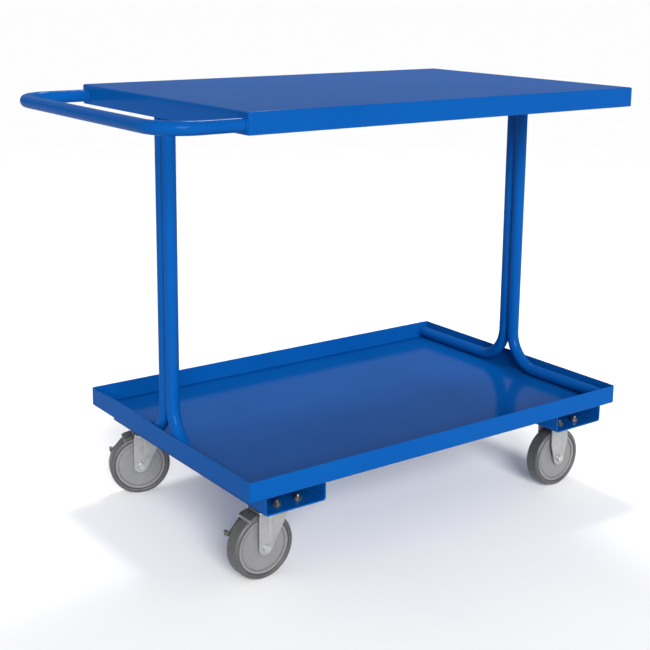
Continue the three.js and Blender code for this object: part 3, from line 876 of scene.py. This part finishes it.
def swivel_yoke(prefix, place):
    """The pressed yoke, its legs stepped out towards the front, with its round bearing seat."""
    eye = (-TRAIL, joints[f"{prefix}_spin"]["pos_m"][2])
    leg_edges = (-TRAIL - FORK_EYE, YOKE_FRONT)
    step_height = 1.8 * MM

    def crown(y):
        return -CROWN_BACK, math.sqrt(CROWN_FRONT**2 - y * y)

    def rib(x, z):
        raised = smooth_step(x, -26.5 * MM, -23.5 * MM)
        return step_height * raised * pressed_ends(z, 72 * MM, 90 * MM, 120 * MM, 126 * MM)

    bm = bmesh.new()
    fork_sheet(bm, place, eye, leg_edges, CROWN_TOP, crown, CROWN_TOP - FORK_SHEET / 2, rib)
    add_piece(f"{prefix}_yoke_pressing", bm, ZINC, f"{prefix}_yoke", [f"{prefix}_yoke"],
              solid=FORK_SHEET, bevel=FORK_EDGE)
    bm = bmesh.new()
    outer, inner = LOWER_RACE_RADIUS, 16 * MM
    low, top = CROWN_TOP - 0.5 * MM, CROWN_TOP + 0.2 * MM
    profile = [(inner, low), (outer + 1.2 * MM, low), (outer, top + 1.2 * MM),
               (outer - 2 * MM, top + 2.4 * MM), (inner + 2 * MM, top + 2.4 * MM), (inner, top + 1.0 * MM)]
    revolve(bm, profile, 72, place @ Y_UPWARDS)
    add_piece(f"{prefix}_lower_race", bm, ZINC, f"{prefix}_yoke")


def mounting_plate(bm, place, node):
    """The caster's rounded plate, as wide as its CAD node, with softened edges. Gives its underside."""
    low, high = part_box(node)
    half_x, half_y = (high.x - low.x) / 2, (high.y - low.y) / 2
    bottom, top = high.z - CASTER_PLATE, high.z
    near, far = 0.3 * PLATE_EDGE, PLATE_EDGE
    rings = []
    for z, inset in ((bottom, far), (bottom + near, near), (bottom + far, 0),
                     (top - far, 0), (top - near, near), (top, far)):
        outline = rounded_rectangle(half_x - inset, half_y - inset, PLATE_CORNER - inset, 8)
        rings.append([place @ Vector((x, y, z)) for x, y in outline])
    loft(bm, rings)
    return bottom


def swivel_top_plate(prefix, place):
    """The plate under the channel, with the upper race pressed down round the balls."""
    bm = bmesh.new()
    plate = mounting_plate(bm, place, f"{prefix}_top_plate")
    race = [(15 * MM, plate + 0.4 * MM), (15 * MM, plate - 2 * MM), (18 * MM, plate - 3.2 * MM),
            (RACE_RADIUS - 3 * MM, plate - 3.6 * MM), (RACE_RADIUS - 0.6 * MM, plate - 3.2 * MM),
            (RACE_RADIUS, plate - 2 * MM), (RACE_RADIUS + 1.6 * MM, plate + 0.4 * MM)]
    revolve(bm, race, 72, place @ Y_UPWARDS)
    add_piece(f"{prefix}_plate_pressing", bm, ZINC, "frame", [f"{prefix}_top_plate"])


def bearing_balls(prefix, place):
    """A ring of balls between the races, on a thin cage."""
    low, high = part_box(f"{prefix}_ball_race")
    middle = (low.z + high.z) / 2
    bm = bmesh.new()
    for a in turns(BALLS):
        spot = Vector((BALL_CIRCLE * math.cos(a), BALL_CIRCLE * math.sin(a), middle))
        bmesh.ops.create_uvsphere(bm, u_segments=16, v_segments=10, radius=BALL_RADIUS,
                                  matrix=place @ Matrix.Translation(spot))
    inner, outer = BALL_CIRCLE - 1.8 * MM, BALL_CIRCLE + 1.8 * MM
    low_z, high_z = middle - 0.5 * MM, middle + 0.5 * MM
    cage = [(inner, low_z), (outer, low_z), (outer, high_z), (inner, high_z)]
    revolve(bm, cage, 72, place @ Y_UPWARDS)
    add_piece(f"{prefix}_bearing_balls", bm, BRIGHT, "frame", [f"{prefix}_ball_race"])


def kingpin(prefix, place):
    """The rivet that holds the races together, with its domed head underneath."""
    low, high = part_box(f"{prefix}_kingpin")
    middle, shank, head = 0.4 * MM, 5 * MM, 9 * MM
    profile = [(middle, low.z), (4.5 * MM, low.z + 0.1 * MM), (7.4 * MM, low.z + 0.8 * MM),
               (head, low.z + 2.2 * MM), (head, low.z + 3 * MM), (shank, low.z + 3 * MM),
               (shank, high.z - 0.6 * MM), (4.4 * MM, high.z), (middle, high.z)]
    bm = bmesh.new()
    revolve(bm, profile, 48, place @ Y_UPWARDS, closed=False)
    add_piece(f"{prefix}_kingpin_rivet", bm, BRIGHT, "frame", [f"{prefix}_kingpin"])


def brake_pin(prefix, pin):
    """The cross pin that the pedal turns on, with domed ends outside the yoke."""
    half = FORK_INSIDE + FORK_SHEET + 0.9 * MM
    middle, dome, radius = 0.3 * MM, 1.6 * MM, 2.5 * MM
    profile = [(middle, -half), (dome, -half + 0.1 * MM), (radius, -half + 0.8 * MM),
               (radius, half - 0.8 * MM), (dome, half - 0.1 * MM), (middle, half)]
    bm = bmesh.new()
    revolve(bm, profile, 24, pin, closed=False)
    add_piece(f"{prefix}_brake_rivet", bm, BRIGHT, f"{prefix}_yoke", [f"{prefix}_brake_pin"])


def tab(bm, place, centre, half, corner, low, high, steps=3):
    """A small rounded plate in local XY. Everything about it is in millimetres."""
    outline = rounded_rectangle(half[0] * MM, half[1] * MM, corner * MM, steps)
    moved = [(x + centre[0] * MM, y + centre[1] * MM) for x, y in outline]
    prism(bm, moved, low * MM, high * MM, place)


def pedal(prefix, pin):
    """Foot tab over the tread with folded edges and grip ribs, a side arm and a lower tab."""
    sloped = pin @ Matrix.Rotation(math.radians(-PEDAL_SLOPE), 4, "Y")
    bm = bmesh.new()
    sleeve_half = FORK_INSIDE - 1 * MM
    inner, outer = 2.9 * MM, 4.2 * MM
    sleeve = [(inner, -sleeve_half), (outer, -sleeve_half), (outer, sleeve_half), (inner, sleeve_half)]
    revolve(bm, sleeve, 32, pin)
    tab(bm, sloped, centre=(-15, 0), half=(9, 19), corner=2.5, low=-0.2, high=1.5, steps=5)
    tab(bm, sloped, centre=(-6, 0), half=(5, 16), corner=1, low=-1.2, high=1.2, steps=2)
    for rib in range(4):
        tab(bm, sloped, centre=(-10 - 3.6 * rib, 0), half=(0.7, 15), corner=0.6, low=1.4, high=2.0)
    for side in (-1, 1):
        tab(bm, sloped, centre=(-15.5, side * 18), half=(8, 0.9), corner=0.8, low=-2.2, high=1.2)
    arm = [(-7, -2), (-20, -5), (-22, -13), (-30, -22), (-38, -31), (-46, -37), (-47.5, -44),
           (-41, -43), (-33, -34), (-25, -25), (-16, -16), (-8, -7)]
    beside = pin @ Matrix.Translation(Vector((0, 18.9 * MM, 0)))
    prism(bm, scaled(arm), 0, 1.8 * MM, beside @ Y_UPWARDS)
    foot = pin @ Matrix.Translation(Vector((-45.8 * MM, 23.4 * MM, -40 * MM)))
    tab(bm, foot, centre=(0, 0), half=(2.4, 5.2), corner=1, low=-4.6, high=4)
    # The stamping is painted darker as the shade that falls on it under the deck.
    add_piece(f"{prefix}_pedal_stamping", bm, PEDAL_SHADED_STEEL, f"{prefix}_brake", [f"{prefix}_brake_pedal"],
              bevel=PEDAL_EDGE)
    # The front lip is a separate piece in the zinc's own colour. It is the lit side of the same metal that
    # is painted darker as shade on the rest of the pedal.
    bm = bmesh.new()
    tab(bm, sloped, centre=(-24.6, 0), half=(0.9, 18.9), corner=0.8, low=-4.4, high=1.7)
    add_piece(f"{prefix}_pedal_unshaded_zinc_lip", bm, ZINC, f"{prefix}_brake", bevel=PEDAL_EDGE)


def swivel_caster(prefix):
    """A braked caster that turns on its kingpin, parked at the angle of its axle."""
    x, y, _ = joints[f"{prefix}_turn"]["pos_m"]
    pivot_z = joints[f"{prefix}_brake_press"]["pos_m"][2]
    below = Vector((x, y, 0))
    straight = Matrix.Translation(below)
    parked = turned_with_axle(prefix, below)
    pin = parked @ Matrix.Translation(Vector((-PIVOT_BACK, 0, pivot_z)))
    wheel(prefix)
    axle_set(prefix, f"{prefix}_yoke")
    swivel_yoke(prefix, parked)
    swivel_top_plate(prefix, straight)
    bearing_balls(prefix, straight)
    kingpin(prefix, straight)
    brake_pin(prefix, pin)
    pedal(prefix, pin)
    caster_bolts(prefix)


def rigid_fork(prefix, place, axle_z):
    """The plate, and the fork pressed from one sheet with a soft ridge down each leg."""
    bm = bmesh.new()
    plate = mounting_plate(bm, place, f"{prefix}_fork")
    add_piece(f"{prefix}_plate_pressing", bm, ZINC, "frame", [f"{prefix}_fork"])
    leg_edges = (-RIGID_LEG_HALF, RIGID_LEG_HALF)
    ridge_height, ridge_width = 1.0 * MM, 6 * MM

    def crown(_):
        return leg_edges

    def rib(x, z):
        ridge = math.exp(-((x / ridge_width) ** 2))
        return ridge_height * ridge * pressed_ends(z, 78 * MM, 92 * MM, 120 * MM, 132 * MM)

    bm = bmesh.new()
    crown_z = plate - FORK_SHEET / 2
    fork_sheet(bm, place, (0.0, axle_z), leg_edges, axle_z + RIGID_SHOULDER, crown, crown_z, rib)
    add_piece(f"{prefix}_fork_pressing", bm, ZINC, "frame", solid=FORK_SHEET, bevel=FORK_EDGE)


def rigid_caster(prefix):
    """A caster whose fork is fixed to the channel."""
    x, y, axle_z = joints[f"{prefix}_spin"]["pos_m"]
    place = Matrix.Translation(Vector((x, y, 0)))
    wheel(prefix)
    axle_set(prefix, "frame")
    rigid_fork(prefix, place, axle_z)
    caster_bolts(prefix)


# ---- Camera, lights and floor -----------------------------------------------------------
def make_camera():
    """The camera, placed from the deck's near corner and turned by its three angles."""
    data = bpy.data.cameras.new("camera")
    data.sensor_width = 36
    data.lens = FOCAL_WIDTHS * data.sensor_width
    data.shift_y = CAMERA_SHIFT_Y
    camera = bpy.data.objects.new("camera", data)
    forward = Vector((math.sin(CAMERA_YAW) * math.cos(CAMERA_PITCH),
                      math.cos(CAMERA_YAW) * math.cos(CAMERA_PITCH), -math.sin(CAMERA_PITCH)))
    camera.location = Vector((deck_low.x, deck_low.y, deck_high.z)) + CAMERA_FROM_CORNER
    camera.rotation_mode = "QUATERNION"
    camera.rotation_quaternion = forward.to_track_quat("-Z", "Y") @ Quaternion((0, 0, 1), -CAMERA_ROLL)
    bpy.context.scene.collection.objects.link(camera)
    bpy.context.scene.camera = camera


def make_world():
    """A studio that is palest a little above the horizon, and darker below that and overhead."""
    world = bpy.data.worlds.new("studio")
    world.use_nodes = True
    tree = world.node_tree
    background = tree.nodes["Background"]
    place = add_node(tree, "ShaderNodeTexCoord")
    parts = add_node(tree, "ShaderNodeSeparateXYZ")
    tree.links.new(place.outputs["Generated"], parts.inputs[0])
    sky = ramp(tree, parts.outputs["Z"], [(height, grey(level)) for height, level in WORLD_GREYS])
    tree.links.new(sky, background.inputs["Color"])
    background.inputs["Strength"].default_value = 1.0
    bpy.context.scene.world = world
    bpy.context.scene.view_settings.view_transform = "Standard"


def add_lamp(name, data, heading):
    """A lamp shining along a heading."""
    lamp = bpy.data.objects.new(name, data)
    lamp.rotation_mode = "QUATERNION"
    lamp.rotation_quaternion = heading.to_track_quat("-Z", "Y")
    bpy.context.scene.collection.objects.link(lamp)
    return lamp


def make_lights():
    """A broad, low sun for the sides that face the camera, and a small softbox behind for the glints."""
    sun = bpy.data.lights.new("sun", "SUN")
    sun.energy = SUN_ENERGY
    sun.angle = SUN_ANGLE
    add_lamp("sun", sun, SUN_HEADING)
    softbox = bpy.data.lights.new("softbox", "AREA")
    softbox.shape = "RECTANGLE"
    softbox.size, softbox.size_y = SOFTBOX_SIZE
    softbox.energy = SOFTBOX_POWER
    add_lamp("softbox", softbox, SOFTBOX_TARGET - SOFTBOX_PLACE).location = SOFTBOX_PLACE


def make_floor():
    """A wide, pale floor."""
    bm = bmesh.new()
    bmesh.ops.create_grid(bm, x_segments=8, y_segments=8, size=FLOOR_HALF)
    mesh = bpy.data.meshes.new("floor")
    bm.to_mesh(mesh)
    bm.free()
    floor = bpy.data.objects.new("floor", mesh)
    material, tree, bsdf = shader("pale_floor", grey(0.9), 0.9, Specular_IOR_Level=0.1)
    speck = object_noise(tree, 3, 4.0)
    tree.links.new(ramp(tree, speck, [(0.3, grey(0.93)), (0.7, grey(0.95))]), bsdf.inputs["Base Color"])
    mesh.materials.append(material)
    bpy.context.scene.collection.objects.link(floor)


make_camera()
make_world()
make_lights()
make_floor()
sheet_tray("lower_deck", upside_down=False)
sheet_tray("top_shelf", upside_down=True)
end_posts()
post_seams()
push_handle()
weld_beads()
for channel_end in ("handle_end", "load_end"):
    caster_channel(channel_end)
for caster in ("swivel_front", "swivel_rear"):
    swivel_caster(caster)
for caster in ("rigid_front", "rigid_rear"):
    rigid_caster(caster)
